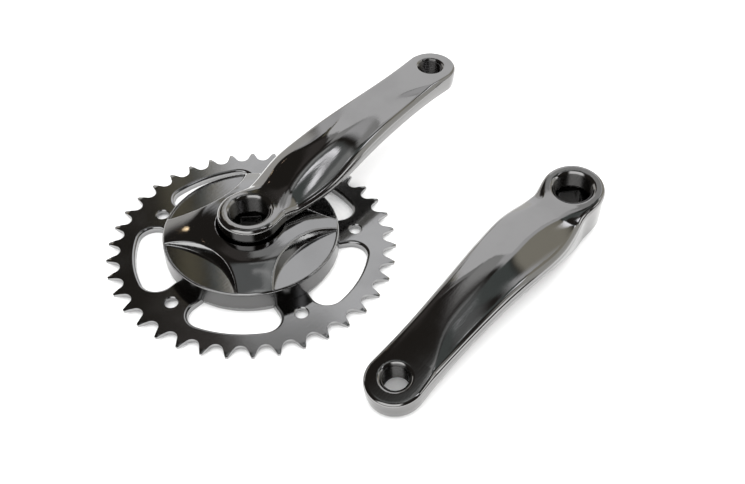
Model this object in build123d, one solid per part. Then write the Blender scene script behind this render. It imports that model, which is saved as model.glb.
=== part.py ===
"""Bicycle crankset: drive arm with a pressed chainring and its cover, and a loose left arm.

Units are millimetres. The origin is on the crank axis, in the middle of the teeth. +Z points outboard
along the crank axis, which is up as the set lies on its back, and +X runs along the drive arm.
"""

import os
from math import asin, atan2, cos, degrees, pi, radians, sin

from build123d import *

# Chainring
CHAIN_PITCH = 12.7
TOOTH_COUNT = 38
TEETH_TURN = -2.24
ROLLER_SEAT_R = 4.0
ROLLER_SEAT_HALF_ANGLE = 65.0
TIP_R = 80.2
TIP_HALF_WIDTH = 0.7
PLATE = 2.2
TIP_THICKNESS = 1.0
CHAMFER_START_R = 77.2
SPOKE_COUNT = 5
SPOKE_TURN = 34.7
SPOKE_HALF_WIDTH = 9.8
WINDOW_INNER_R = 46.3
WINDOW_OUTER_R = 64.5
WINDOW_OUTER_CORNER = 9.0
WINDOW_INNER_CORNER = 4.0
LIP_WALL = 2.3
LIP_ROUND = 1.6
GUARD_HOLE_CIRCLE_R = 58.7
GUARD_HOLE_R = 3.5
GUARD_HOLE_SINK = 0.5

# Levels along the crank axis
PLATE_TOP = PLATE / 2
PLATE_BACK = -PLATE / 2
REST = -3.0
BOSS_MOUTH = 27.0
LEFT_BOSS_BACK = 1.3
EYE_FACE = 37.9
EYE_BACK = 25.0

# Arms
CRANK_LENGTH = 160.0
BOSS_R = 17.5
LEFT_BOSS_R = 17.2
BOSS_ROUND = 1.6
SPIGOT_R = 15.5
SPLINE_COUNT = 24
SPLINE_DEPTH = 0.8
SPLINE_WIDTH = 1.6
EXTRACTOR_R = 11.0
EXTRACTOR_DEPTH = 11.0
EXTRACTOR_CHAMFER = 1.5
TAPER_FRONT = 12.6
TAPER_ANGLE = 2.0
TAPER_CORNER = 1.5
TAPER_TURN = 45.0
EYE_R = 16.3
EYE_ROUND = 2.4
PEDAL_BORE_R = 7.1
PEDAL_MOUTH_CHAMFER = 1.4
PEDAL_BACK_CHAMFER = 0.6

# Sections along an arm: distance from the axle, half width of the outer face and of the back, height of
# the outer face, drop to the scooped edge and to the plain edge, and where across the arm the ridges
# over those two edges run.
ARM_SECTIONS = [
    (6.0, 15.6, 14.8, 26.4, 1.2, 1.2, 13.5, 12.5),
    (24.0, 18.4, 17.3, 28.7, 4.0, 3.6, 10.2, 10.2),
    (42.0, 20.6, 19.4, 32.2, 5.5, 4.2, 4.0, 10.2),
    (60.0, 20.2, 18.9, 35.2, 5.2, 3.2, 3.2, 10.2),
    (80.0, 18.4, 17.0, 37.3, 4.0, 1.9, 2.5, 10.2),
    (104.0, 16.6, 15.2, 37.75, 3.0, 1.2, 2.2, 10.2),
    (128.0, 15.5, 14.4, 37.9, 2.4, 1.0, 5.0, 11.0),
    (146.0, 15.2, 14.3, 37.9, 1.6, 1.0, 11.0, 11.5),
    (162.0, 15.2, 14.5, 37.9, 1.2, 1.0, 12.5, 12.5),
]
# Heights of the back of each arm at those sections. The drive arm passes over the cover, and the left
# arm runs down into its boss.
DRIVE_BACK = [18.5, 18.5, 19.4, 21.0, 22.8, 24.2, 24.9, 25.0, 25.0]
LEFT_BACK = [2.0, 4.4, 13.4, 19.8, 22.6, 24.2, 24.9, 25.0, 25.0]
SECTION_ROUND = 0.9
SIDE_BREAK = 0.42

# Cover
COVER_R = 48.4
COVER_RIM_TOP = 12.0
COVER_PEAK = 18.2
COVER_WELL_R = 18.8
COVER_SHOULDER_R = 30.0
COVER_SHOULDER_TOP = 17.1
COVER_WALL = 1.8
COVER_EDGE_ROUND = 1.2
FLAT_TOP = 11.2
FLAT_RIM_R = 47.2
FLAT_CORNER_R = 47.5
FLAT_APEX_R = 30.0
FLAT_WALL_LEAN = 2.8
FLATS = [(0.0, 38.0), (85.0, 35.5), (180.0, 35.5), (-85.0, 35.5)]
POST_ANGLES = (44.5, 132.5, 227.5, 315.5)
POST_CIRCLE_R = 35.0
POST_R = 3.2

# Cover screws and the collar that locks the chainring on the drive arm
SCREW_R = 1.5
SCREW_FIT = 0.03
SCREW_CLEARANCE = 0.25
SCREW_HEAD_R = 2.9
SCREW_HEAD = 1.7
SCREW_TIP = 8.5
COLLAR_R = 21.0
RECESS_LENGTH = 3.2
RECESS_WIDTH = 0.8
RECESS_DEPTH = 1.0

# Left arm as it lies beside the drive side
LEFT_X = 133.3
LEFT_Y = -122.2
LEFT_HEADING = 180.4

TOL = 1e-3
CLEAR = 1.0


def drum(radius, low, high, x=0.0, y=0.0):
    """A plain cylinder between two heights."""
    return Pos(x, y, low) * Cylinder(radius, high - low, align=(Align.CENTER, Align.CENTER, Align.MIN))


def cone(low_r, high_r, low, high, x=0.0, y=0.0):
    """A cone between two heights."""
    return Pos(x, y, low) * Cone(low_r, high_r, high - low, align=(Align.CENTER, Align.CENTER, Align.MIN))


def polar(radius, angle):
    """The point at a radius and an angle in degrees."""
    return radius * cos(radians(angle)), radius * sin(radians(angle))


def turned(points):
    """The solid turned from a closed outline of radius and height pairs."""
    outline = make_face(Polyline(*[(r, 0, z) for r, z in points], close=True))
    return revolve(outline, axis=Axis.Z)


def splines(radius, low, high):
    """The toothed seat that stops the chainring turning on the arm."""
    seat = drum(radius - SPLINE_DEPTH, low, high)
    key = Pos(radius - SPLINE_DEPTH, 0, low) * Box(
        2 * SPLINE_DEPTH, SPLINE_WIDTH, high - low, align=(Align.CENTER, Align.CENTER, Align.MIN)
    )
    for index in range(SPLINE_COUNT):
        seat += Rot(0, 0, index * 360 / SPLINE_COUNT) * key
    return seat


def tooth_outline():
    """The toothed edge: one roller seat and one tooth for each link."""
    pitch_r = CHAIN_PITCH / 2 / sin(pi / TOOTH_COUNT)
    step = 360 / TOOTH_COUNT
    tip_angle = step / 2 - degrees(asin(TIP_HALF_WIDTH / TIP_R))
    seat_x = pitch_r - ROLLER_SEAT_R * cos(radians(ROLLER_SEAT_HALF_ANGLE))
    seat_y = ROLLER_SEAT_R * sin(radians(ROLLER_SEAT_HALF_ANGLE))
    seat_end_r = (seat_x**2 + seat_y**2) ** 0.5
    seat_angle = degrees(atan2(seat_y, seat_x))
    edges = []
    for index in range(TOOTH_COUNT):
        gap = TEETH_TURN + (index + 0.5) * step
        tip_in = polar(TIP_R, gap - tip_angle)
        seat_in = polar(seat_end_r, gap - seat_angle)
        seat_mid = polar(pitch_r - ROLLER_SEAT_R, gap)
        seat_out = polar(seat_end_r, gap + seat_angle)
        tip_out = polar(TIP_R, gap + tip_angle)
        next_tip = polar(TIP_R, gap + step - tip_angle)
        edges += [
            Line(tip_in, seat_in),
            ThreePointArc(seat_in, seat_mid, seat_out),
            Line(seat_out, tip_out),
            Line(tip_out, next_tip),
        ]
    return make_face(edges)


def windows(grow=0.0):
    """The five openings between the spokes, or their outlines grown by a lip's width."""
    band = Circle(WINDOW_OUTER_R) - Circle(WINDOW_INNER_R)
    for index in range(SPOKE_COUNT):
        spoke = Rectangle(TIP_R, 2 * SPOKE_HALF_WIDTH, align=(Align.MIN, Align.CENTER))
        band -= Rot(0, 0, SPOKE_TURN + index * 360 / SPOKE_COUNT) * spoke
    faces = []
    for face in band.faces():
        inner = [v for v in face.vertices() if Vector(v).length < (WINDOW_INNER_R + WINDOW_OUTER_R) / 2]
        face = fillet(inner, WINDOW_INNER_CORNER)
        outer = [v for v in face.vertices() if Vector(v).length > WINDOW_OUTER_R - WINDOW_OUTER_CORNER / 2]
        face = fillet(outer, WINDOW_OUTER_CORNER)
        faces.append(offset(face, grow) if grow else face)
    return faces


def chainring():
    """The pressed ring: teeth, spokes, rolled window lips, guard holes and the splined centre."""
    plate = extrude(Pos(0, 0, PLATE_BACK) * tooth_outline(), PLATE)
    plate &= turned(
        [
            (0, PLATE_BACK),
            (CHAMFER_START_R, PLATE_BACK),
            (TIP_R + CLEAR, -TIP_THICKNESS / 2),
            (TIP_R + CLEAR, TIP_THICKNESS / 2),
            (CHAMFER_START_R, PLATE_TOP),
            (0, PLATE_TOP),
        ]
    )
    for face in windows(LIP_WALL):
        plate += extrude(Pos(0, 0, REST) * face, PLATE_TOP - REST)
    for face in windows():
        plate -= extrude(Pos(0, 0, REST - CLEAR) * face, PLATE_TOP - REST + 2 * CLEAR)
    rims = [
        e
        for e in plate.edges()
        if abs(e.center().Z - PLATE_TOP) < TOL
        and WINDOW_INNER_R - TOL < Vector(e.center().X, e.center().Y).length < WINDOW_OUTER_R + TOL
    ]
    plate = fillet(rims, LIP_ROUND)
    for index in range(SPOKE_COUNT):
        x, y = polar(GUARD_HOLE_CIRCLE_R, SPOKE_TURN + index * 360 / SPOKE_COUNT)
        plate -= drum(GUARD_HOLE_R, REST - CLEAR, PLATE_TOP + CLEAR, x, y)
        plate -= cone(
            GUARD_HOLE_R, GUARD_HOLE_R + GUARD_HOLE_SINK, PLATE_TOP - GUARD_HOLE_SINK, PLATE_TOP, x, y
        )
    for angle in POST_ANGLES:
        plate -= drum(SCREW_R + SCREW_CLEARANCE, REST, PLATE_TOP + CLEAR, *polar(POST_CIRCLE_R, angle))
    return plate - splines(SPIGOT_R, PLATE_BACK - CLEAR, PLATE_TOP + CLEAR)


def flat_cutter(angle, half_width, lean, margin=0.0):
    """The leaning round wall of one recessed flat, as the solid to take away."""
    chord = FLAT_CORNER_R * sin(radians(half_width))
    reach = FLAT_CORNER_R * cos(radians(half_width)) - FLAT_APEX_R
    radius = (chord**2 + reach**2) / (2 * reach)
    x, y = polar(FLAT_APEX_R + radius, angle)
    height = COVER_PEAK - FLAT_TOP
    rise = COVER_PEAK + CLEAR - FLAT_TOP
    return cone(
        radius + margin, radius + margin + lean * rise / height, FLAT_TOP, FLAT_TOP + rise, x, y
    )


def cover_shell(inset):
    """The turned outer form of the cover, or the form of its hollow when inset by the wall."""
    peak = COVER_PEAK - inset
    outer = COVER_R - inset
    return turned(
        [
            (COVER_WELL_R + inset, PLATE_TOP),
            (outer, PLATE_TOP),
            (outer, COVER_RIM_TOP - inset),
            (COVER_SHOULDER_R, COVER_SHOULDER_TOP - inset),
            (COVER_WELL_R + inset, peak),
        ]
    )


def hub_cover():
    """The moulded cap over the chainring's centre: a domed cross with four lens-shaped flats."""
    body = cover_shell(0)
    sunk = drum(FLAT_RIM_R, FLAT_TOP, COVER_PEAK + CLEAR)
    for angle, half_width in FLATS:
        body -= sunk & flat_cutter(angle, half_width, FLAT_WALL_LEAN)
    rim = [e for e in body.edges().filter_by(GeomType.CIRCLE) if abs(e.radius - COVER_R) < TOL]
    rim = [e for e in rim if abs(e.center().Z - COVER_RIM_TOP) < TOL]
    body = fillet(rim, COVER_EDGE_ROUND)
    hollow = cover_shell(COVER_WALL)
    roof = drum(COVER_R, FLAT_TOP - COVER_WALL, COVER_PEAK + CLEAR)
    for angle, half_width in FLATS:
        wall = Pos(0, 0, -COVER_WALL) * flat_cutter(angle, half_width, FLAT_WALL_LEAN, COVER_WALL)
        hollow -= roof & wall
    body -= hollow
    for angle in POST_ANGLES:
        x, y = polar(POST_CIRCLE_R, angle)
        body += drum(POST_R, PLATE_TOP, COVER_SHOULDER_TOP - 2 * COVER_WALL, x, y)
        body -= drum(SCREW_R + SCREW_FIT, PLATE_TOP - CLEAR, SCREW_TIP + CLEAR, x, y)
    return body


def arm_section(station, back):
    """One rounded section across an arm, scooped on the -Y side."""
    along, half_top, half_back, top, scoop_drop, plain_drop, scoop_ridge, plain_ridge = station
    waist = back + SIDE_BREAK * (top - back)
    points = [
        (half_back, back),
        (half_top, waist),
        (half_top, top - plain_drop),
        (plain_ridge, top),
        (-scoop_ridge, top),
        (-half_top, top - scoop_drop),
        (-half_top, waist),
        (-half_back, back),
    ]
    outline = make_face(Polyline(*points, close=True))
    outline = fillet(outline.vertices(), SECTION_ROUND)
    return Plane(origin=(along, 0, 0), x_dir=(0, 1, 0), z_dir=(1, 0, 0)) * outline


def taper_hole(front, back):
    """The square hole for the spindle, widening towards the back of the boss."""
    length = front - back
    grow = 2 * length * sin(radians(TAPER_ANGLE))
    small = RectangleRounded(TAPER_FRONT, TAPER_FRONT, TAPER_CORNER)
    large = RectangleRounded(TAPER_FRONT + grow, TAPER_FRONT + grow, TAPER_CORNER)
    hole = loft([Pos(0, 0, back) * large, Pos(0, 0, front) * small])
    return Rot(0, 0, TAPER_TURN) * hole


def arm(boss_r, boss_back, backs):
    """An arm along +X: boss, sculpted bar, pedal eye and their holes."""
    bar = loft([arm_section(station, back) for station, back in zip(ARM_SECTIONS, backs)])
    boss = drum(boss_r, boss_back, BOSS_MOUTH)
    boss = fillet(boss.edges().filter_by(GeomType.CIRCLE).sort_by(Axis.Z)[-1], BOSS_ROUND)
    eye = drum(EYE_R, EYE_BACK, EYE_FACE, CRANK_LENGTH)
    eye = fillet(eye.edges().filter_by(GeomType.CIRCLE), EYE_ROUND)
    body = boss + bar + eye
    seat = BOSS_MOUTH - EXTRACTOR_DEPTH
    body -= drum(EXTRACTOR_R, seat, EYE_FACE)
    body -= cone(
        EXTRACTOR_R, EXTRACTOR_R + EXTRACTOR_CHAMFER, BOSS_MOUTH - EXTRACTOR_CHAMFER, BOSS_MOUTH
    )
    body -= taper_hole(seat + TOL, boss_back - TOL)
    body -= drum(PEDAL_BORE_R, EYE_BACK - CLEAR, EYE_FACE + CLEAR, CRANK_LENGTH)
    for face, inward, size in (
        (EYE_FACE, -1, PEDAL_MOUTH_CHAMFER),
        (EYE_BACK, 1, PEDAL_BACK_CHAMFER),
    ):
        ends = sorted([(face, PEDAL_BORE_R + size), (face + inward * size, PEDAL_BORE_R)])
        (low, low_r), (high, high_r) = ends
        body -= cone(low_r, high_r, low, high, CRANK_LENGTH)
    return body


def drive_arm():
    """The right arm, with the splined spigot that carries the chainring."""
    body = arm(BOSS_R, PLATE_TOP, DRIVE_BACK)
    spigot = splines(SPIGOT_R, REST, PLATE_TOP)
    return body + (spigot - taper_hole(BOSS_MOUTH - EXTRACTOR_DEPTH + TOL, REST - TOL))


def left_arm():
    """The left arm, lying on the edge of its boss and the tip of its pedal eye."""
    body = mirror(arm(LEFT_BOSS_R, LEFT_BOSS_BACK, LEFT_BACK), Plane.XZ)
    tip = CRANK_LENGTH + EYE_R - EYE_ROUND
    tilt = degrees(atan2(EYE_BACK - LEFT_BOSS_BACK, tip - LEFT_BOSS_R))
    body = Rot(0, 0, LEFT_HEADING) * Rot(0, tilt, 0) * Pos(0, 0, -BOSS_MOUTH) * body
    drop = REST - body.bounding_box().min.Z
    return Pos(LEFT_X, LEFT_Y, drop) * body


def lock_collar():
    """The steel collar pressed on the spigot behind the chainring."""
    return drum(COLLAR_R, REST, PLATE_BACK) - splines(SPIGOT_R, REST - CLEAR, PLATE_BACK + CLEAR)


def cover_screw(angle):
    """A self-tapping screw from the back of the chainring into a post of the cover."""
    x, y = polar(POST_CIRCLE_R, angle)
    head = drum(SCREW_HEAD_R, PLATE_BACK - SCREW_HEAD, PLATE_BACK, x, y)
    head -= cross_recess(x, y, PLATE_BACK - SCREW_HEAD)
    return head + drum(SCREW_R, PLATE_BACK, SCREW_TIP, x, y)


def cross_recess(x, y, low):
    """The crossed slots that a driver bit enters."""
    slot = Box(
        RECESS_LENGTH, RECESS_WIDTH, RECESS_DEPTH, align=(Align.CENTER, Align.CENTER, Align.MIN)
    )
    return Pos(x, y, low) * (slot + Rot(0, 0, 90) * slot)


os.makedirs("parts", exist_ok=True)
pieces = {
    "drive_arm": drive_arm(),
    "left_arm": left_arm(),
    "chainring": chainring(),
    "hub_cover": hub_cover(),
    "lock_collar": lock_collar(),
}
for number, angle in enumerate(POST_ANGLES, 1):
    pieces[f"cover_screw_{number}"] = cover_screw(angle)
for name, piece in pieces.items():
    export_step(piece, f"parts/{name}.step")
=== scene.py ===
"""Looks of the bicycle crankset: dark mirror-polished arms, a pressed chainring and a plated cover.

The arms and the cover are modelled as distance fields in the millimetres of the CAD part and meshed
here, so their rounded edges, scoops and hollows run smoothly into each other. The chainring, the lock
collar and the screws keep their CAD shapes.
"""
import math

import bpy
import numpy as np
from mathutils import Matrix, Vector


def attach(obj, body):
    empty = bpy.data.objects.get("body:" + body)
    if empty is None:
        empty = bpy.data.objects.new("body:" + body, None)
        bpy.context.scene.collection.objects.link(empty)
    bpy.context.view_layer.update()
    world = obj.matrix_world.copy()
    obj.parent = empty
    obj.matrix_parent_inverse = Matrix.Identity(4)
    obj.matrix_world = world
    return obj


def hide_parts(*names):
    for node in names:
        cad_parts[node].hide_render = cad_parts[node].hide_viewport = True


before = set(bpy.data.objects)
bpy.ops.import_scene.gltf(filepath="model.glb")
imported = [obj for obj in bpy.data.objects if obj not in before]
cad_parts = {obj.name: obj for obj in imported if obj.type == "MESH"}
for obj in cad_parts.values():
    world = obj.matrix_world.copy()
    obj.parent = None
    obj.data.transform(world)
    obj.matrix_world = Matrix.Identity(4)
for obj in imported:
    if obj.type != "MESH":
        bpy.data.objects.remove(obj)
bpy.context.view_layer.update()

MM = 0.001

# Camera, in metres and degrees in the frame of the part, with its lens and sensor in millimetres
CAMERA_PLACE = (-0.2432, -0.2829, 0.3676)
CAMERA_AZIMUTH = -51.018
CAMERA_DOWN = 44.69
CAMERA_ROLL = 1.262
CAMERA_LENS = 44.84
SENSOR_WIDTH = 36.0

# Light and floor, in metres and watts
LIGHT_PLACE = (0.1, 0.0, 1.4)
LIGHT_SIZE = 8.0
LIGHT_POWER = 340.0
FLOOR_HALF_SIDE = 4.0
FLOOR_GAP = 0.00002

# Levels and sizes shared with the part, in millimetres and degrees
PLATE_TOP = 1.1
REST = -3.0
BOSS_MOUTH = 27.0
LEFT_BOSS_BACK = 1.3
CRANK_LENGTH = 160.0
EYE_FACE = 37.9
EYE_BACK = 25.0
EXTRACTOR_R = 11.0
EXTRACTOR_SEAT = 16.0
EXTRACTOR_CHAMFER = 1.5
EXTRACTOR_PITCH = 1.0
PEDAL_R = 7.1
PEDAL_PITCH = 1.27
TAPER_HALF = 6.3
TAPER_ANGLE = 2.0
TAPER_CORNER = 1.5
SPIGOT_TOP = 2.0
SPIGOT_R = 14.7
SPLINE_R = 15.4
SPLINES = 24
SPLINE_HALF_WIDTH = 0.8
LEFT_TILT = 8.6005
LEFT_HEADING = 180.4
LEFT_PLACE = (133.3, -122.2, 25.01)


# ------------------------------------------------------------------------------------------------
# Distance fields and their meshes
# ------------------------------------------------------------------------------------------------
GRADIENT_REACH = 0.02
NEWTON_STEPS = 4
LEAST_SLOPE_SQUARED = 0.05
QUAD_CORNERS = ((0, 0), (0, 1), (1, 0), (1, 1))
QUAD_LOOP = ((1, 1), (0, 1), (0, 0), (1, 0))
THREAD_ROWS_PER_TURN = 10
THREAD_AROUND = 96
SLEEVE_WALL = 0.8


def both(a, b, radius):
    """The space inside both fields, with the edge between them rounded to a radius."""
    corner = np.hypot(np.maximum(radius + a, 0), np.maximum(radius + b, 0))
    return np.minimum(-radius, np.maximum(a, b)) + corner


def either(a, b, radius):
    """The space inside either field, blended over a radius."""
    mix = np.clip(0.5 + 0.5 * (b - a) / radius, 0, 1)
    return b + (a - b) * mix - radius * mix * (1 - mix)


def ease(value, low, high):
    """A smooth step from 0 at low to 1 at high."""
    t = np.clip((value - low) / (high - low), 0, 1)
    return t * t * (3 - 2 * t)


def ramp_up(value, softness):
    """The positive part of a value, with a rounded start."""
    return 0.5 * (value + np.sqrt(value * value + softness * softness))


def curve(points):
    """A natural cubic spline through (x, y) points, as a function that is level beyond its ends."""
    x, y = np.array(points, float).T
    step, slope = np.diff(x), np.diff(y) / np.diff(x)
    system = np.eye(len(x))
    pull = np.zeros(len(x))
    for i in range(1, len(x) - 1):
        system[i, i - 1 : i + 2] = step[i - 1], 2 * (step[i - 1] + step[i]), step[i]
        pull[i] = 6 * (slope[i] - slope[i - 1])
    bend = np.linalg.solve(system, pull)

    def at(value):
        value = np.clip(value, x[0], x[-1])
        i = np.clip(np.searchsorted(x, value) - 1, 0, len(step) - 1)
        left, right = x[i + 1] - value, value - x[i]
        cubic = (bend[i] * left**3 + bend[i + 1] * right**3) / (6 * step[i])
        from_left = (y[i] / step[i] - bend[i] * step[i] / 6) * left
        from_right = (y[i + 1] / step[i] - bend[i + 1] * step[i] / 6) * right
        return cubic + from_left + from_right

    return at


def gradient(field, points):
    """The slope of a field at some points."""
    slope = np.empty_like(points)
    for axis in range(3):
        nudge = np.zeros(3)
        nudge[axis] = GRADIENT_REACH
        rise = field(*(points + nudge).T) - field(*(points - nudge).T)
        slope[:, axis] = rise / (2 * GRADIENT_REACH)
    return slope


def other_axes(axis):
    """The two axes square to an axis."""
    return [i for i in range(3) if i != axis]


def edge_crossings(values, axis):
    """Which grid edges along an axis cross the surface, how far along, and which start inside."""
    start, end = [slice(None)] * 3, [slice(None)] * 3
    start[axis], end[axis] = slice(0, -1), slice(1, None)
    a, b = values[tuple(start)], values[tuple(end)]
    crosses = (a < 0) != (b < 0)
    share = np.where(crosses, a / np.where(crosses, a - b, 1), 0)
    return crosses, share, a < 0


def cell_points(crossings, cells):
    """A point in each cell that the surface crosses, in cells, and a grid of the points' numbers."""
    total, hits = np.zeros(cells + (3,)), np.zeros(cells)
    for axis, (crosses, share, _) in enumerate(crossings):
        one, two = other_axes(axis)
        for first, second in QUAD_CORNERS:
            pick = [slice(None)] * 3
            pick[one] = slice(first, cells[one] + first)
            pick[two] = slice(second, cells[two] + second)
            here = crosses[tuple(pick)]
            hits += here
            total[..., axis] += share[tuple(pick)]
            total[..., one] += here * first
            total[..., two] += here * second
    active = hits > 0
    number = np.full(cells, -1)
    number[active] = np.arange(active.sum())
    return np.argwhere(active) + total[active] / hits[active][:, None], number


def crossing_quads(crossings, number):
    """A quad round each grid edge that crosses the surface, facing out of the solid."""
    quads = []
    for axis, (crosses, _, starts_inside) in enumerate(crossings):
        one, two = other_axes(axis)
        edges = np.argwhere(crosses)
        # An edge on the border of the grid has no cell on one side
        inner = [(edges[:, i] > 0) & (edges[:, i] < number.shape[i]) for i in (one, two)]
        edges = edges[np.all(inner, axis=0)]
        ring = []
        for first, second in QUAD_LOOP:
            corner = edges.copy()
            corner[:, one] -= first
            corner[:, two] -= second
            ring.append(number[tuple(corner.T)])
        ring = np.stack(ring, axis=1)
        outward = starts_inside[tuple(edges.T)]
        # The two other axes, in number order, turn the other way round axis 1
        if axis == 1:
            outward = ~outward
        ring[~outward] = ring[~outward][:, ::-1]
        quads.append(ring)
    return np.concatenate(quads)


def settle(field, points, longest):
    """The points moved onto the surface by a few Newton steps, each no longer than a limit."""
    for _ in range(NEWTON_STEPS):
        slope = gradient(field, points)
        size = np.maximum((slope**2).sum(1), LEAST_SLOPE_SQUARED)
        step = field(*points.T) / size
        points = points - np.clip(step, -longest, longest)[:, None] * slope
    return points


def field_mesh(field, space, cell):
    """Vertices, quads and normals of the surface where a field is zero, within a space."""
    low, high = np.array(space, float)
    counts = np.ceil((high - low) / cell).astype(int) + 1
    axes = [low[i] + cell * np.arange(counts[i]) for i in range(3)]
    values = field(*np.meshgrid(*axes, indexing="ij"))
    crossings = [edge_crossings(values, axis) for axis in range(3)]
    points, number = cell_points(crossings, tuple(counts - 1))
    points = settle(field, low + cell * points, cell)
    normals = gradient(field, points)
    normals /= np.maximum(np.linalg.norm(normals, axis=1), 1e-9)[:, None]
    return points, crossing_quads(crossings, number), normals


def sleeve(radius, depth, pitch, low, high):
    """A closed ring with a screw thread inside, to stand in a bore. Its last two rows close it."""
    rows = int(round((high - low) / pitch * THREAD_ROWS_PER_TURN)) + 1
    turn = np.arange(THREAD_AROUND) / THREAD_AROUND
    heights = np.append(np.linspace(low, high, rows), (high, low))[:, None]
    r = radius - depth * (0.5 - 0.5 * np.cos(math.tau * (heights / pitch - turn)))
    r[rows:] = radius + SLEEVE_WALL
    x, y = r * np.cos(math.tau * turn), r * np.sin(math.tau * turn)
    points = np.stack(np.broadcast_arrays(x, y, heights), axis=2)
    row, k = np.indices(r.shape)
    upper, other = (row + 1) % len(r), (k + 1) % THREAD_AROUND
    corners = ((row, other), (row, k), (upper, k), (upper, other))
    faces = np.stack([i * THREAD_AROUND + j for i, j in corners], axis=2)
    return points.reshape(-1, 3), faces.reshape(-1, 4)


# ------------------------------------------------------------------------------------------------
# The arms, along +u from the crank axis, with the outer face towards +w and the scoop on -v
# ------------------------------------------------------------------------------------------------
# Each curve gives millimetres against u. The first five are half the width of the outer face and of
# the back, the level of the outer face along its middle, and the levels of the two arms' backs.
half_top = curve([(0, 15.2), (12, 16.2), (26, 18.8), (42, 20.8), (58, 20.4), (80, 18.4),
                  (104, 16.6), (126, 15.5), (146, 15.3), (160, 15.6)])
half_back = curve([(0, 14.6), (26, 17.6), (44, 19.4), (60, 19.0), (80, 17.1), (104, 15.3),
                   (128, 14.3), (146, 14.2), (160, 14.8)])
spine = curve([(0, 27.0), (10, 27.0), (20, 28.05), (30, 29.95), (45, 32.8), (60, 35.3), (68, 36.4),
               (76, 37.1), (86, 37.5), (104, 37.75), (124, 37.9), (160, 37.9)])
drive_back = curve([(0, 18.5), (24, 18.5), (42, 19.4), (60, 21.0), (80, 22.8), (104, 24.2),
                    (128, 24.9), (146, 25.0), (160, 25.0)])
left_back = curve([(0, 1.3), (12, 1.6), (20, 3.4), (28, 7.2), (38, 12.8), (48, 17.4), (60, 20.8),
                   (80, 23.0), (104, 24.2), (128, 24.9), (146, 25.0), (160, 25.0)])
# How far the scoop falls at the arm's edge, where across the arm it starts, and how softly
scoop_drop = curve([(0, 0.8), (14, 2.4), (24, 4.2), (42, 5.8), (60, 5.2), (80, 3.8), (104, 2.4),
                    (128, 1.9), (146, 1.0), (160, 0.6)])
scoop_ridge = curve([(0, 13.6), (12, 12.8), (20, 9.9), (25, 8.0), (32, 5.8), (40, 4.1), (50, 3.1),
                     (62, 3.2), (80, 2.5), (100, 2.0), (114, 2.2), (125, 4.0), (135, 7.8),
                     (145, 12.3), (160, 15.6)])
ridge_soft = curve([(0, 3.2), (85, 3.2), (108, 2.7), (130, 1.8), (160, 1.4)])
# How far the bevel falls and where it starts, and the radius of the edge between face and sides
bevel_drop = curve([(0, 0.8), (12, 3.2), (24, 4.6), (42, 4.0), (60, 3.8), (80, 2.4), (104, 1.1),
                    (128, 0.7), (160, 0.5)])
bevel_ridge = curve([(0, 9.0), (24, 9.0), (34, 11.8), (44, 11.4), (56, 7.6), (68, 5.8), (80, 6.0),
                     (100, 9.5), (160, 10.5)])
edge_round = curve([(0, 2.6), (16, 2.8), (30, 3.6), (50, 4.2), (110, 4.0), (140, 3.2), (160, 2.2)])
# How much steeper the scoop sets in than a straight fall to the edge would
SCOOP_HOLLOW = 0.6
SCOOP_LEAST_WIDTH = 2.5
SCOOP_FULL_SHARE = 1.2
BEVEL_SOFT = 1.6
BEVEL_RUN_OUT = 2.0
# Distances from the crank axis over which the scoop and the bevel set in
SCOOP_START = (15.0, 27.0)
BEVEL_START = (14.5, 22.0)

# The sides stand upright down to the waist, at this share of the height, and lean in below it
WAIST_SHARE = 0.45
WAIST_SOFT = 1.5
WAIST_LEAST_HEIGHT = 3.0
EYE_STRETCH = 0.965
BACK_ROUND = 2.6
OPENING_ROUND = 0.45
EYE_CHAMFER = 1.4
EYE_BACK_CHAMFER = 0.6

ARM_SPACE = ((-20, -24, -1), (180, 24, 40))
ARM_CELL = 0.6
SPIGOT_SPACE = ((-16.4, -16.4, REST - 0.8), (16.4, 16.4, 2.4))
SPIGOT_CELL = 0.4
SPLINE_ROUND = 0.2
SPLINE_BLEND = 0.25
SPIGOT_ROUND = 0.3
SPIGOT_HOLE_ROUND = 0.35

# The boss: its radius at the mouth, how much it narrows per millimetre towards its foot, the level
# and rounding of the foot, and the width over which it blends into the bar. Then the bar's back.
DRIVE_ARM = {
    "boss_r": 17.5,
    "lean": 0.0,
    "foot": PLATE_TOP,
    "foot_round": 0.8,
    "blend": 3.0,
    "back": drive_back,
}
LEFT_ARM = {
    "boss_r": 17.2,
    "lean": 0.09,
    "foot": LEFT_BOSS_BACK,
    "foot_round": 3.5,
    "blend": 7.0,
    "back": left_back,
}

# Threads: place along the arm, radius, depth, pitch, lowest and highest level. Each stands proud of
# the wall of its bore by a hair, so that the wall doesn't show through.
PROUD = 0.05
THREADS = (
    (0, EXTRACTOR_R - PROUD, 0.5, EXTRACTOR_PITCH, EXTRACTOR_SEAT + 0.4, BOSS_MOUTH - 1.5),
    (CRANK_LENGTH, PEDAL_R - PROUD, 0.6, PEDAL_PITCH, EYE_BACK + 0.9, EYE_FACE - 1.5),
)


def arm_top(u, v):
    """The height of the outer face: a rising spine, a hollow scoop on -v and a bevel on +v."""
    width = half_top(u)
    ridge = scoop_ridge(u)
    share = ramp_up(-v - ridge, ridge_soft(u)) / np.maximum(width - ridge, SCOOP_LEAST_WIDTH)
    scoop = scoop_drop(u) * share * (1 + SCOOP_HOLLOW * (1 - np.minimum(share, SCOOP_FULL_SHARE)))
    start = bevel_ridge(u)
    bevel = bevel_drop(u) * ramp_up(v - start, BEVEL_SOFT) / (width - start + BEVEL_RUN_OUT)
    from_axle = np.hypot(u, v)
    return spine(u) - ease(from_axle, *SCOOP_START) * scoop - ease(from_axle, *BEVEL_START) * bevel


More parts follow.
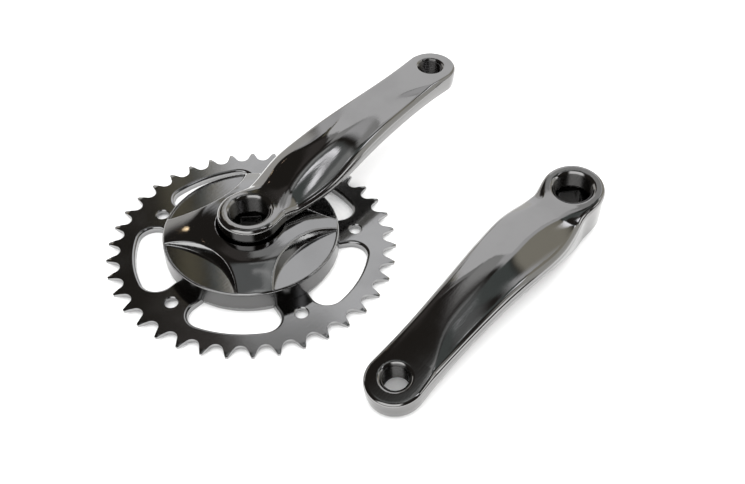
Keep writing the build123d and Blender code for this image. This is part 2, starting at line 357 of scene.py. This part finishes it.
def square_hole(u, v, w):
    """The spindle's square taper, turned so that its corners lie along and across the arm."""
    half = TAPER_HALF + (EXTRACTOR_SEAT - w) * math.tan(math.radians(TAPER_ANGLE))
    a, b = np.abs(u + v) / math.sqrt(2), np.abs(u - v) / math.sqrt(2)
    return both(a - half, b - half, TAPER_CORNER)


def arm_openings(u, v, w):
    """Every hole through an arm, as one field: bore and square near the axis, the eye beyond."""
    r = np.hypot(u, v)
    bore = np.maximum(r - EXTRACTOR_R, EXTRACTOR_SEAT - w)
    mouth = (r - EXTRACTOR_R - (w - (BOSS_MOUTH - EXTRACTOR_CHAMFER))) / math.sqrt(2)
    boss = np.minimum(np.minimum(bore, mouth), square_hole(u, v, w))
    e = np.hypot(u - CRANK_LENGTH, v)
    outer = (e - PEDAL_R - (w - (EYE_FACE - EYE_CHAMFER))) / math.sqrt(2)
    inner = (e - PEDAL_R + (w - (EYE_BACK + EYE_BACK_CHAMFER))) / math.sqrt(2)
    eye = np.minimum(np.minimum(e - PEDAL_R, outer), inner)
    return np.where(u < CRANK_LENGTH / 2, boss, eye)


def arm_field(boss_r, lean, foot, foot_round, blend, back):
    """The field of an arm, from the values in DRIVE_ARM or LEFT_ARM."""

    def field(u, v, w):
        past = np.maximum(u - CRANK_LENGTH, 0) * EYE_STRETCH - np.minimum(u, 0)
        across = np.hypot(v, past)
        crest, under = spine(u), back(u)
        waist = under + WAIST_SHARE * (crest - under)
        tuck = ramp_up(waist - w, WAIST_SOFT) / np.maximum(waist - under, WAIST_LEAST_HEIGHT)
        side = across - half_top(u) + (half_top(u) - half_back(u)) * tuck
        bar = both(side, under - w, BACK_ROUND)
        boss = np.hypot(u, v) - boss_r + lean * (BOSS_MOUTH - w)
        body = both(either(boss, bar, blend), foot - w, foot_round)
        body = both(body, w - arm_top(u, v), edge_round(u))
        return both(body, -arm_openings(u, v, w), OPENING_ROUND)

    return field


def arm_shells(shape):
    """The body of one arm and the threads in its bores."""
    shells = [field_mesh(arm_field(**shape), ARM_SPACE, ARM_CELL)]
    for along, *thread in THREADS:
        points, faces = sleeve(*thread)
        shells.append((points + np.array([along, 0, 0]), faces, None))
    return shells


def spigot_field(u, v, w):
    """The drive arm's splined seat for the chainring and the collar."""
    r, angle = np.hypot(u, v), np.arctan2(v, u)
    step = math.tau / SPLINES
    aside = np.abs((angle + step / 2) % step - step / 2) * r
    keys = both(r - SPLINE_R, aside - SPLINE_HALF_WIDTH, SPLINE_ROUND)
    seat = either(r - SPIGOT_R, keys, SPLINE_BLEND)
    middle, half_height = (SPIGOT_TOP + REST) / 2, (SPIGOT_TOP - REST) / 2
    body = both(seat, np.abs(w - middle) - half_height, SPIGOT_ROUND)
    return both(body, -square_hole(u, v, w), SPIGOT_HOLE_ROUND)


# ------------------------------------------------------------------------------------------------
# The cover
# ------------------------------------------------------------------------------------------------
COVER_R = 48.4
COVER_WALL = 1.8
COVER_ROUND = 1.1
WELL_R = 18.8
INNER_ROUND = 0.35
# The level of the domed top against the distance from the crank axis
cover_top = curve([(18.8, 18.15), (25, 17.65), (29.5, 17.2), (32, 16.7), (35, 15.95), (39, 14.85),
                   (43, 13.7), (46.5, 12.65), (49.5, 11.7)])
# Turns the height above the sloping top into a distance from it
TOP_COSINE = 0.95

# Each flat is lens-shaped: sunk to one level, out to the rim, inside a round wall that passes through
# its apex and its two corners. Then the heading and half width of each, in degrees.
FLAT_TOP = 11.2
FLAT_RIM_R = 47.2
FLAT_CORNER_R = 47.5
FLAT_APEX_R = 30.0
FLAT_LEAN = 2.8 / 7.0
FLAT_LIP_ROUND = 0.75
FLATS = ((0.0, 38.0), (85.0, 35.5), (180.0, 35.5), (-85.0, 35.5))

COVER_SPACE = ((-50, -50, 0.4), (50, 50, 20))
COVER_CELL = 0.6


def flat_wall(x, y, z, turn, half_width, margin):
    """The leaning round wall of one recessed flat."""
    chord = FLAT_CORNER_R * math.sin(math.radians(half_width))
    reach = FLAT_CORNER_R * math.cos(math.radians(half_width)) - FLAT_APEX_R
    radius = (chord**2 + reach**2) / (2 * reach)
    away = FLAT_APEX_R + radius
    cx, cy = away * math.cos(math.radians(turn)), away * math.sin(math.radians(turn))
    lean = FLAT_LEAN * (z - FLAT_TOP)
    return (np.hypot(x - cx, y - cy) - radius - margin - lean) / math.hypot(1, FLAT_LEAN)


def cover_field(x, y, z):
    """The domed cross with its four flats, hollow underneath."""
    r = np.hypot(x, y)
    crest = cover_top(r)
    body = both(r - COVER_R, (z - crest) * TOP_COSINE, COVER_ROUND)
    hollow = np.maximum(r - COVER_R + COVER_WALL, z - crest + COVER_WALL)
    hollow = np.maximum(hollow, WELL_R + COVER_WALL - r)
    for turn, half_width in FLATS:
        wall = flat_wall(x, y, z, turn, half_width, 0)
        sunk = both(np.maximum(wall, r - FLAT_RIM_R), FLAT_TOP - z, INNER_ROUND)
        body = both(body, -sunk, FLAT_LIP_ROUND)
        wall_inside = flat_wall(x, y, z + COVER_WALL, turn, half_width, COVER_WALL)
        under = np.maximum(wall_inside, FLAT_TOP - COVER_WALL - z)
        hollow = np.maximum(hollow, -under)
    body = both(body, WELL_R - r, INNER_ROUND)
    body = np.maximum(body, -hollow)
    return np.maximum(body, PLATE_TOP - z)


# ------------------------------------------------------------------------------------------------
# Blender objects
# ------------------------------------------------------------------------------------------------
# Painted shade with a rougher finish, from 0, mirror-polished, to 1, painted near black as shade and
# rougher: on bores, undersides and sides
BORE_PAINTED_SHADE = 0.8
ARM_SIDE_PAINTED_SHADE = 0.33
COVER_SIDE_PAINTED_SHADE = 0.65
# Millimetres outside a bore over which its painted shade fades, and how far a pedal bore's reaches
BORE_FADE = 0.6
PEDAL_LIP = 0.4
# How far a surface faces up, between polished and painted shade: for undersides, arm sides and cover
# sides
UNDER_RANGE = (-0.35, -0.85)
ARM_SIDE_RANGE = (0.6, 0.2)
COVER_SIDE_RANGE = (0.5, 0.15)
COVER_SIDE_DEPTH = 1.5


def arm_shade_and_matte(points, normals):
    """Painted shade on an arm, with a rougher finish: its back and bores are painted dark as shade,
    its sides less so.
    """
    u, v, _ = points.T
    from_extractor = np.hypot(u, v) - EXTRACTOR_R
    from_pedal = np.hypot(u - CRANK_LENGTH, v) - PEDAL_R - PEDAL_LIP
    # painted shade: bores, downward faces and upright sides are painted darker
    bore = BORE_PAINTED_SHADE * ease(np.minimum(from_extractor, from_pedal), BORE_FADE, 0.0)
    under = ease(normals[:, 2], *UNDER_RANGE)
    side = ARM_SIDE_PAINTED_SHADE * ease(np.abs(normals[:, 2]), *ARM_SIDE_RANGE)
    return np.where(bore > 0, bore, np.maximum(side, under))


def cover_shade_and_matte(points, normals):
    """Painted shade on the cover: its outer wall is painted darker, with a rougher finish."""
    outside = np.hypot(points[:, 0], points[:, 1]) > COVER_R - COVER_SIDE_DEPTH
    return COVER_SIDE_PAINTED_SHADE * outside * ease(np.abs(normals[:, 2]), *COVER_SIDE_RANGE)


def joined(shells):
    """Points, faces and normals of several shells as one. A shell without normals gets zeros."""
    points, faces, normals, start = [], [], [], 0
    for shell_points, shell_faces, shell_normals in shells:
        points.append(shell_points)
        faces.append(shell_faces + start)
        normals.append(np.zeros_like(shell_points) if shell_normals is None else shell_normals)
        start += len(shell_points)
    return map(np.concatenate, (points, faces, normals))


def smooth_mesh(name, points, faces, normals, shade_and_matte):
    """A Blender mesh from points in millimetres, with the given normals where they aren't zero."""
    mesh = bpy.data.meshes.new(name)
    mesh.from_pydata((points * MM).tolist(), [], faces.tolist())
    mesh.polygons.foreach_set("use_smooth", [True] * len(mesh.polygons))
    mesh.update()
    own = np.array([v.normal for v in mesh.vertices])
    given = np.linalg.norm(normals, axis=1) > 0.5
    own[given] = normals[given]
    mesh.normals_split_custom_set_from_vertices(own.tolist())
    layer = mesh.attributes.new("shade_and_matte", "FLOAT", "POINT")
    layer.data.foreach_set("value", shade_and_matte.astype(np.float32))
    return mesh


def to_object(name, shells, place, shade_and_matte_of):
    """A mesh object from shells in their own frame, put in its place."""
    points, faces, normals = joined(shells)
    shade_and_matte = shade_and_matte_of(points, normals)
    turn = np.array(place.to_3x3())
    points = points @ turn.T + np.array(place.translation)
    normals = normals @ turn.T
    if np.linalg.det(turn) < 0:
        faces = faces[:, ::-1]
    thing = bpy.data.objects.new(name, smooth_mesh(name, points, faces, normals, shade_and_matte))
    bpy.context.scene.collection.objects.link(thing)
    return thing


def stand_for(node, thing, material, body):
    """The piece takes a CAD node's place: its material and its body."""
    thing.data.materials.append(material)
    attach(thing, body)
    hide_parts(node)


def soften(node, width):
    """A narrow bevel and clean normals on a CAD node."""
    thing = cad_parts[node]
    weld = thing.modifiers.new("weld", "WELD")
    weld.merge_threshold = 1e-6
    bevel = thing.modifiers.new("edge", "BEVEL")
    bevel.width = width
    bevel.segments = 2
    bevel.limit_method = "ANGLE"
    bevel.angle_limit = math.radians(35)
    bevel.harden_normals = True


def coat(node, material):
    """The material of a CAD node."""
    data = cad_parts[node].data
    data.materials.clear()
    data.materials.append(material)


# ------------------------------------------------------------------------------------------------
# Materials
# ------------------------------------------------------------------------------------------------
# Haze: soft patches some 25 mm apart. The range is where its noise counts, from none to full.
HAZE_SCALE = 38.0
HAZE_RANGE = (0.42, 0.72)
HAZE_DARKENS = 0.93
HAZE_ROUGHENS = 0.05
# Polish lines, drawn out along x
LINE_SCALE = (60.0, 1400.0, 900.0)
LINES_ROUGHEN = 0.03
# Marks: small rubbed specks
MARK_SCALE = 520.0
MARK_RANGE = (0.66, 0.8)
MARKS_ROUGHEN = 0.25
DULL_ROUGHENS = 0.2
BUMP_STRENGTH = 0.02
BUMP_DISTANCE = 0.0004


class Graph:
    """Short ways to add nodes to a material or world."""

    def __init__(self, tree):
        self.tree = tree
        tree.nodes.clear()

    def node(self, kind, *inputs, settings=None, **named):
        """A node whose first sockets take the inputs in order, and others by name."""
        node = self.tree.nodes.new(kind)
        for key, value in (settings or {}).items():
            setattr(node, key, value)
        for index, value in enumerate(inputs):
            self.feed(node, index, value)
        for key, value in named.items():
            self.feed(node, key.replace("_", " "), value)
        return node

    def add(self, kind, *inputs, out=0, **others):
        """One output of a new node."""
        return self.node(kind, *inputs, **others).outputs[out]

    def feed(self, node, socket, value):
        """A link or a plain value into a socket."""
        target = node.inputs[socket]
        if isinstance(value, bpy.types.NodeSocket):
            self.tree.links.new(value, target)
        else:
            target.default_value = value

    def math(self, operation, *values):
        """The result of a math node."""
        return self.add("ShaderNodeMath", *values, settings={"operation": operation})

    def step(self, value, low, high, to_low=0.0, to_high=1.0):
        """A smooth step between two values as an input goes from low to high."""
        smooth = {"interpolation_type": "SMOOTHSTEP"}
        return self.add("ShaderNodeMapRange", value, low, high, to_low, to_high, settings=smooth)

    def mix(self, share, a, b):
        """A blend of two colours. Sockets 0, 6 and 7 and output 2 are the ones for colours."""
        node = self.node("ShaderNodeMix", share, settings={"data_type": "RGBA"})
        self.feed(node, 6, a)
        self.feed(node, 7, b)
        return node.outputs[2]


def gray(value, warm=0.0):
    """A gray, a little warmer or cooler."""
    return (value * (1 + warm), value, value * (1 - warm), 1)


RUBBED = gray(0.2)
# painted shade: the near-black colour mixed in on bores, undersides and sides
PAINTED_SHADE_COLOUR = gray(0.03, 0.03)


def new_material(name):
    """An empty material and its graph."""
    material = bpy.data.materials.new(name)
    material.use_nodes = True
    return material, Graph(material.node_tree)


def metal(name, tint, roughness, wear):
    """Polished metal with faint polish lines, haze patches and small marks, with painted shade and
    more roughness where the shade attribute asks.
    """
    material, g = new_material(name)
    place = g.add("ShaderNodeTexCoord", out="Object")
    patches = g.add("ShaderNodeTexNoise", place, Scale=HAZE_SCALE, Detail=4.0)
    stretched = g.add("ShaderNodeMapping", place, Scale=LINE_SCALE)
    lines = g.add("ShaderNodeTexNoise", stretched, Scale=1.0, Detail=3.0)
    marks = g.add("ShaderNodeTexNoise", place, Scale=MARK_SCALE, Detail=5.0, Roughness=0.7)
    haze = g.step(patches, *HAZE_RANGE)
    speck = g.step(marks, *MARK_RANGE)
    shade_and_matte = g.add("ShaderNodeAttribute", out="Fac", settings={"attribute_name": "shade_and_matte"})
    colour = g.mix(haze, tint, tuple(c * HAZE_DARKENS for c in tint[:3]) + (1,))
    colour = g.mix(g.math("MULTIPLY", speck, wear), colour, RUBBED)
    # painted shade: darker towards near black where the shade attribute says
    colour = g.mix(shade_and_matte, colour, PAINTED_SHADE_COLOUR)
    rough = g.math("MULTIPLY_ADD", haze, HAZE_ROUGHENS, roughness)
    rough = g.math("MULTIPLY_ADD", lines, LINES_ROUGHEN, rough)
    rough = g.math("MULTIPLY_ADD", speck, MARKS_ROUGHEN * wear, rough)
    rough = g.math("MULTIPLY_ADD", shade_and_matte, DULL_ROUGHENS, rough)
    relief = g.math("ADD", lines, marks)
    bump = g.add("ShaderNodeBump", Strength=BUMP_STRENGTH, Distance=BUMP_DISTANCE, Height=relief)
    look = {"Base_Color": colour, "Metallic": 1.0, "Roughness": rough, "Normal": bump}
    shader = g.add("ShaderNodeBsdfPrincipled", **look)
    g.node("ShaderNodeOutputMaterial", shader)
    return material


# ------------------------------------------------------------------------------------------------
# The studio
# ------------------------------------------------------------------------------------------------
ROOM = gray(0.035, 0.12)

# Patches of the studio as the metal sees it: azimuth and elevation of the centre, half widths and
# softness, all in degrees, and a colour. Azimuth 90 is straight ahead of the camera, 0 is to its
# right. A patch is painted over the ones before it.
STUDIO = (
    # the ceiling, its beams and its lamp
    (90.0, 90.0, 180.0, 23.0, 3.0, (0.26, 0.27, 0.27)),
    (78.0, 76.0, 9.0, 9.0, 4.0, (0.50, 0.51, 0.51)),
    (90.0, 69.0, 16.0, 0.8, 0.6, (0.60, 0.60, 0.60)),
    (90.0, 76.0, 16.0, 0.8, 0.6, (0.80, 0.80, 0.80)),
    (90.0, 82.5, 180.0, 0.8, 0.6, (0.95, 0.95, 0.95)),
    (90.0, 87.0, 180.0, 0.7, 0.6, (0.95, 0.95, 0.95)),
    (46.5, 71.3, 6.8, 2.6, 2.4, (2.5, 2.5, 2.6)),
    # pale cloth low down beyond and beside the set
    (54.0, 0.0, 57.0, 16.0, 5.0, (1.12, 1.11, 1.08)),
    (127.0, 8.0, 25.0, 20.0, 3.0, (0.88, 0.86, 0.83)),
    # above the cloth: a brown wall, a pale one to its right and a dark corner over them
    (42.0, 34.0, 26.0, 18.0, 4.0, (0.56, 0.53, 0.45)),
    (9.0, 30.0, 14.0, 17.0, 5.0, (0.80, 0.79, 0.75)),
    (35.0, 62.5, 21.0, 7.5, 3.0, (0.15, 0.17, 0.165)),
    # the large grey panel straight ahead, and paler and darker parts round its edges
    (62.0, 52.0, 14.0, 8.0, 3.0, (0.95, 0.95, 0.97)),
    (84.0, 56.0, 11.0, 6.0, 3.0, (0.62, 0.62, 0.62)),
    (106.0, 29.5, 5.5, 6.5, 2.0, (1.0, 1.0, 1.02)),
    (81.8, 30.0, 20.8, 21.0, 0.4, (1.20, 1.20, 1.22)),
    # at the panel's upper left: a grey and a black patch, and three narrow bands beside it
    (97.5, 52.5, 4.0, 3.5, 0.8, (0.50, 0.50, 0.50)),
    (106.0, 55.0, 4.0, 6.0, 1.5, (0.10, 0.09, 0.085)),
    (102.9, 40.0, 0.4, 8.0, 0.15, (0.50, 0.45, 0.34)),
    (103.75, 40.0, 0.4, 8.0, 0.15, (0.24, 0.27, 0.28)),
    (105.8, 40.0, 1.1, 7.0, 0.4, (0.22, 0.20, 0.14)),
    # two warm lamps
    (128.0, 33.0, 0.8, 1.1, 0.5, (5.0, 3.8, 2.4)),
    (117.5, 47.3, 0.5, 0.4, 0.4, (3.0, 2.2, 1.6)),
    # windows to the right of the set and behind the camera
    (20.0, 52.0, 7.0, 3.0, 2.0, (2.4, 2.4, 2.5)),
    (-11.0, 24.0, 6.0, 8.0, 3.0, (1.7, 1.7, 1.7)),
    (-19.0, 58.0, 5.0, 11.0, 2.0, (2.4, 2.4, 2.5)),
    (-112.0, 36.0, 34.0, 24.0, 8.0, (1.7, 1.7, 1.7)),
)


def build_world():
    """The studio that the metal reflects, painted by direction. The camera sees plain white."""
    world = bpy.data.worlds.new("studio")
    bpy.context.scene.world = world
    world.use_nodes = True
    g = Graph(world.node_tree)
    direction = g.add("ShaderNodeTexCoord", out="Generated")
    turned = g.add("ShaderNodeVectorRotate", settings={"rotation_type": "Z_AXIS"},
                   Vector=direction, Angle=math.radians(-CAMERA_AZIMUTH))
    x, y, z = g.node("ShaderNodeSeparateXYZ", turned).outputs
    azimuth = g.math("MULTIPLY", g.math("ARCTAN2", y, x), 180 / math.pi)
    height = g.math("MULTIPLY", g.math("ARCSINE", z), 180 / math.pi)
    colour = ROOM
    for centre, level, wide, tall, soft, paint in STUDIO:
        aside = g.math("ABSOLUTE", g.math("SUBTRACT", azimuth, centre))
        above = g.math("ABSOLUTE", g.math("SUBTRACT", height, level))
        in_width = g.step(aside, wide - soft, wide + soft, 1.0, 0.0)
        in_height = g.step(above, tall - soft, tall + soft, 1.0, 0.0)
        colour = g.mix(g.math("MULTIPLY", in_width, in_height), colour, paint + (1,))
    camera_ray = g.add("ShaderNodeLightPath", out="Is Camera Ray")
    colour = g.mix(camera_ray, colour, gray(1.0))
    g.node("ShaderNodeOutputWorld", g.add("ShaderNodeBackground", colour))


def build_floor():
    """A plain pale floor, just under the set."""
    material, g = new_material("floor_paper")
    place = g.add("ShaderNodeTexCoord", out="Object")
    grain = g.add("ShaderNodeTexNoise", place, Scale=300.0, Detail=3.0)
    shader = g.add("ShaderNodeBsdfDiffuse", g.mix(grain, gray(0.93), gray(0.95)))
    g.node("ShaderNodeOutputMaterial", shader)
    low = REST * MM - FLOOR_GAP
    side = FLOOR_HALF_SIDE
    mesh = bpy.data.meshes.new("floor")
    corners = [(-side, -side, low), (side, -side, low), (side, side, low), (-side, side, low)]
    mesh.from_pydata(corners, [], [(0, 1, 2, 3)])
    mesh.materials.append(material)
    floor = bpy.data.objects.new("floor", mesh)
    bpy.context.scene.collection.objects.link(floor)


def build_light():
    """A wide soft light overhead, which the metal doesn't mirror."""
    data = bpy.data.lights.new("overhead", "AREA")
    data.shape = "SQUARE"
    data.size = LIGHT_SIZE
    data.energy = LIGHT_POWER
    light = bpy.data.objects.new("overhead", data)
    light.location = LIGHT_PLACE
    light.visible_glossy = False
    light.visible_camera = False
    bpy.context.scene.collection.objects.link(light)


def build_camera():
    """The camera at the photograph's viewing angle."""
    data = bpy.data.cameras.new("camera")
    data.lens = CAMERA_LENS
    data.sensor_width = SENSOR_WIDTH
    camera = bpy.data.objects.new("camera", data)
    azimuth, down, roll = map(math.radians, (CAMERA_AZIMUTH, CAMERA_DOWN, CAMERA_ROLL))
    level = Vector((math.cos(azimuth), math.sin(azimuth), 0))
    forward = Vector((-math.sin(azimuth), math.cos(azimuth), 0))
    ahead = forward * math.cos(down) - Vector((0, 0, math.sin(down)))
    above = level.cross(ahead)
    right = math.cos(roll) * level + math.sin(roll) * above
    up = math.cos(roll) * above - math.sin(roll) * level
    turn = Matrix((right, up, -ahead)).transposed().to_4x4()
    camera.matrix_world = Matrix.Translation(CAMERA_PLACE) @ turn
    bpy.context.scene.collection.objects.link(camera)
    bpy.context.scene.camera = camera


# ------------------------------------------------------------------------------------------------
# The set
# ------------------------------------------------------------------------------------------------
arm_metal = metal("polished_arm_metal", gray(0.28, 0.01), roughness=0.03, wear=0.25)
ring_metal = metal("chainring_plating", gray(0.31), roughness=0.07, wear=0.3)
cover_metal = metal("cover_plating", gray(0.28), roughness=0.035, wear=0.2)
steel = metal("plain_steel_metal", gray(0.45), roughness=0.25, wear=0.5)

as_modelled = Matrix.Identity(4)
shells = arm_shells(DRIVE_ARM) + [field_mesh(spigot_field, SPIGOT_SPACE, SPIGOT_CELL)]
drive_arm = to_object("drive_arm_body", shells, as_modelled, arm_shade_and_matte)
stand_for("drive_arm", drive_arm, arm_metal, "drive_side")

# The left arm is the mirror image of a drive arm, turned and tilted about the middle of its mouth
left_place = (
    Matrix.Translation(LEFT_PLACE)
    @ Matrix.Rotation(math.radians(LEFT_HEADING), 4, "Z")
    @ Matrix.Rotation(math.radians(LEFT_TILT), 4, "Y")
    @ Matrix.Translation((0, 0, -BOSS_MOUTH))
    @ Matrix.Diagonal((1, -1, 1, 1))
)
left_arm = to_object("left_arm_body", arm_shells(LEFT_ARM), left_place, arm_shade_and_matte)
stand_for("left_arm", left_arm, arm_metal, "left_arm")

shells = [field_mesh(cover_field, COVER_SPACE, COVER_CELL)]
hub_cover = to_object("hub_cover_shell", shells, as_modelled, cover_shade_and_matte)
stand_for("hub_cover", hub_cover, cover_metal, "drive_side")

coat("chainring", ring_metal)
soften("chainring", 0.25 * MM)
coat("lock_collar", steel)
soften("lock_collar", 0.3 * MM)
for number in range(1, 5):
    coat(f"cover_screw_{number}", steel)
    soften(f"cover_screw_{number}", 0.1 * MM)

build_floor()
build_world()
build_light()
build_camera()
bpy.context.scene.view_settings.view_transform = "Standard"
